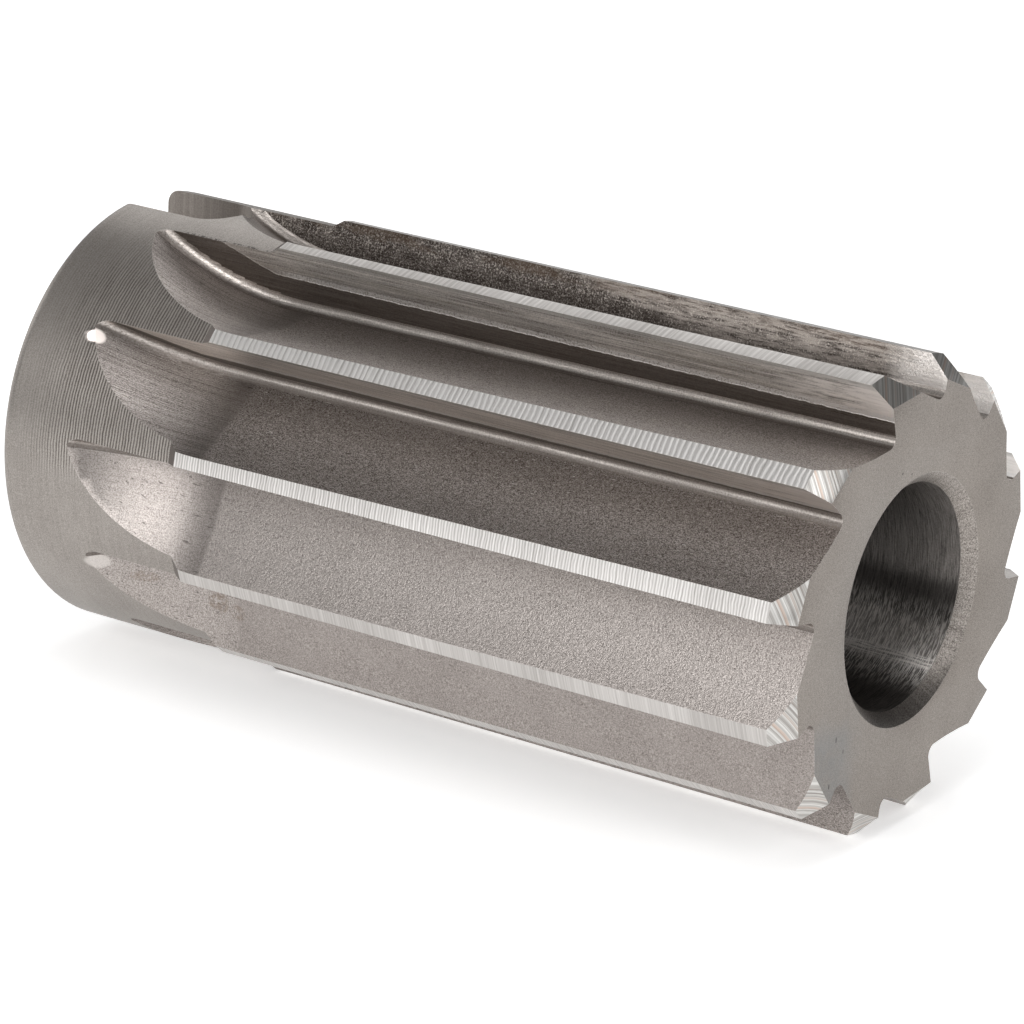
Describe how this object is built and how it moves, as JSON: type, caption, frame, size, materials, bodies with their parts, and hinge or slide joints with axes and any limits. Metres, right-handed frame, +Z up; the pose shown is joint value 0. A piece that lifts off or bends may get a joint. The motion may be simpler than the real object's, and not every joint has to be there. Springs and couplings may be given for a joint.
{
  "type": "shell reamer",
  "caption": "Machine shell reamer with straight, unevenly spaced teeth, a plain collar, a taper bore for an arbor and a driving slot.",
  "frame": {"origin": "where the bore's axis meets the driving face, at the back", "axes": "+X along the bore from the driving face to the cutting face; +Z up as it lies on a bench, resting on two teeth"},
  "size_m": [0.0762, 0.0376, 0.0374],
  "materials": {
    "tool_steel": "milled and ground high speed steel"
  },
  "bodies": {
    "root": {"shell_reamer": "tool_steel"}
  },
  "joints": []
}
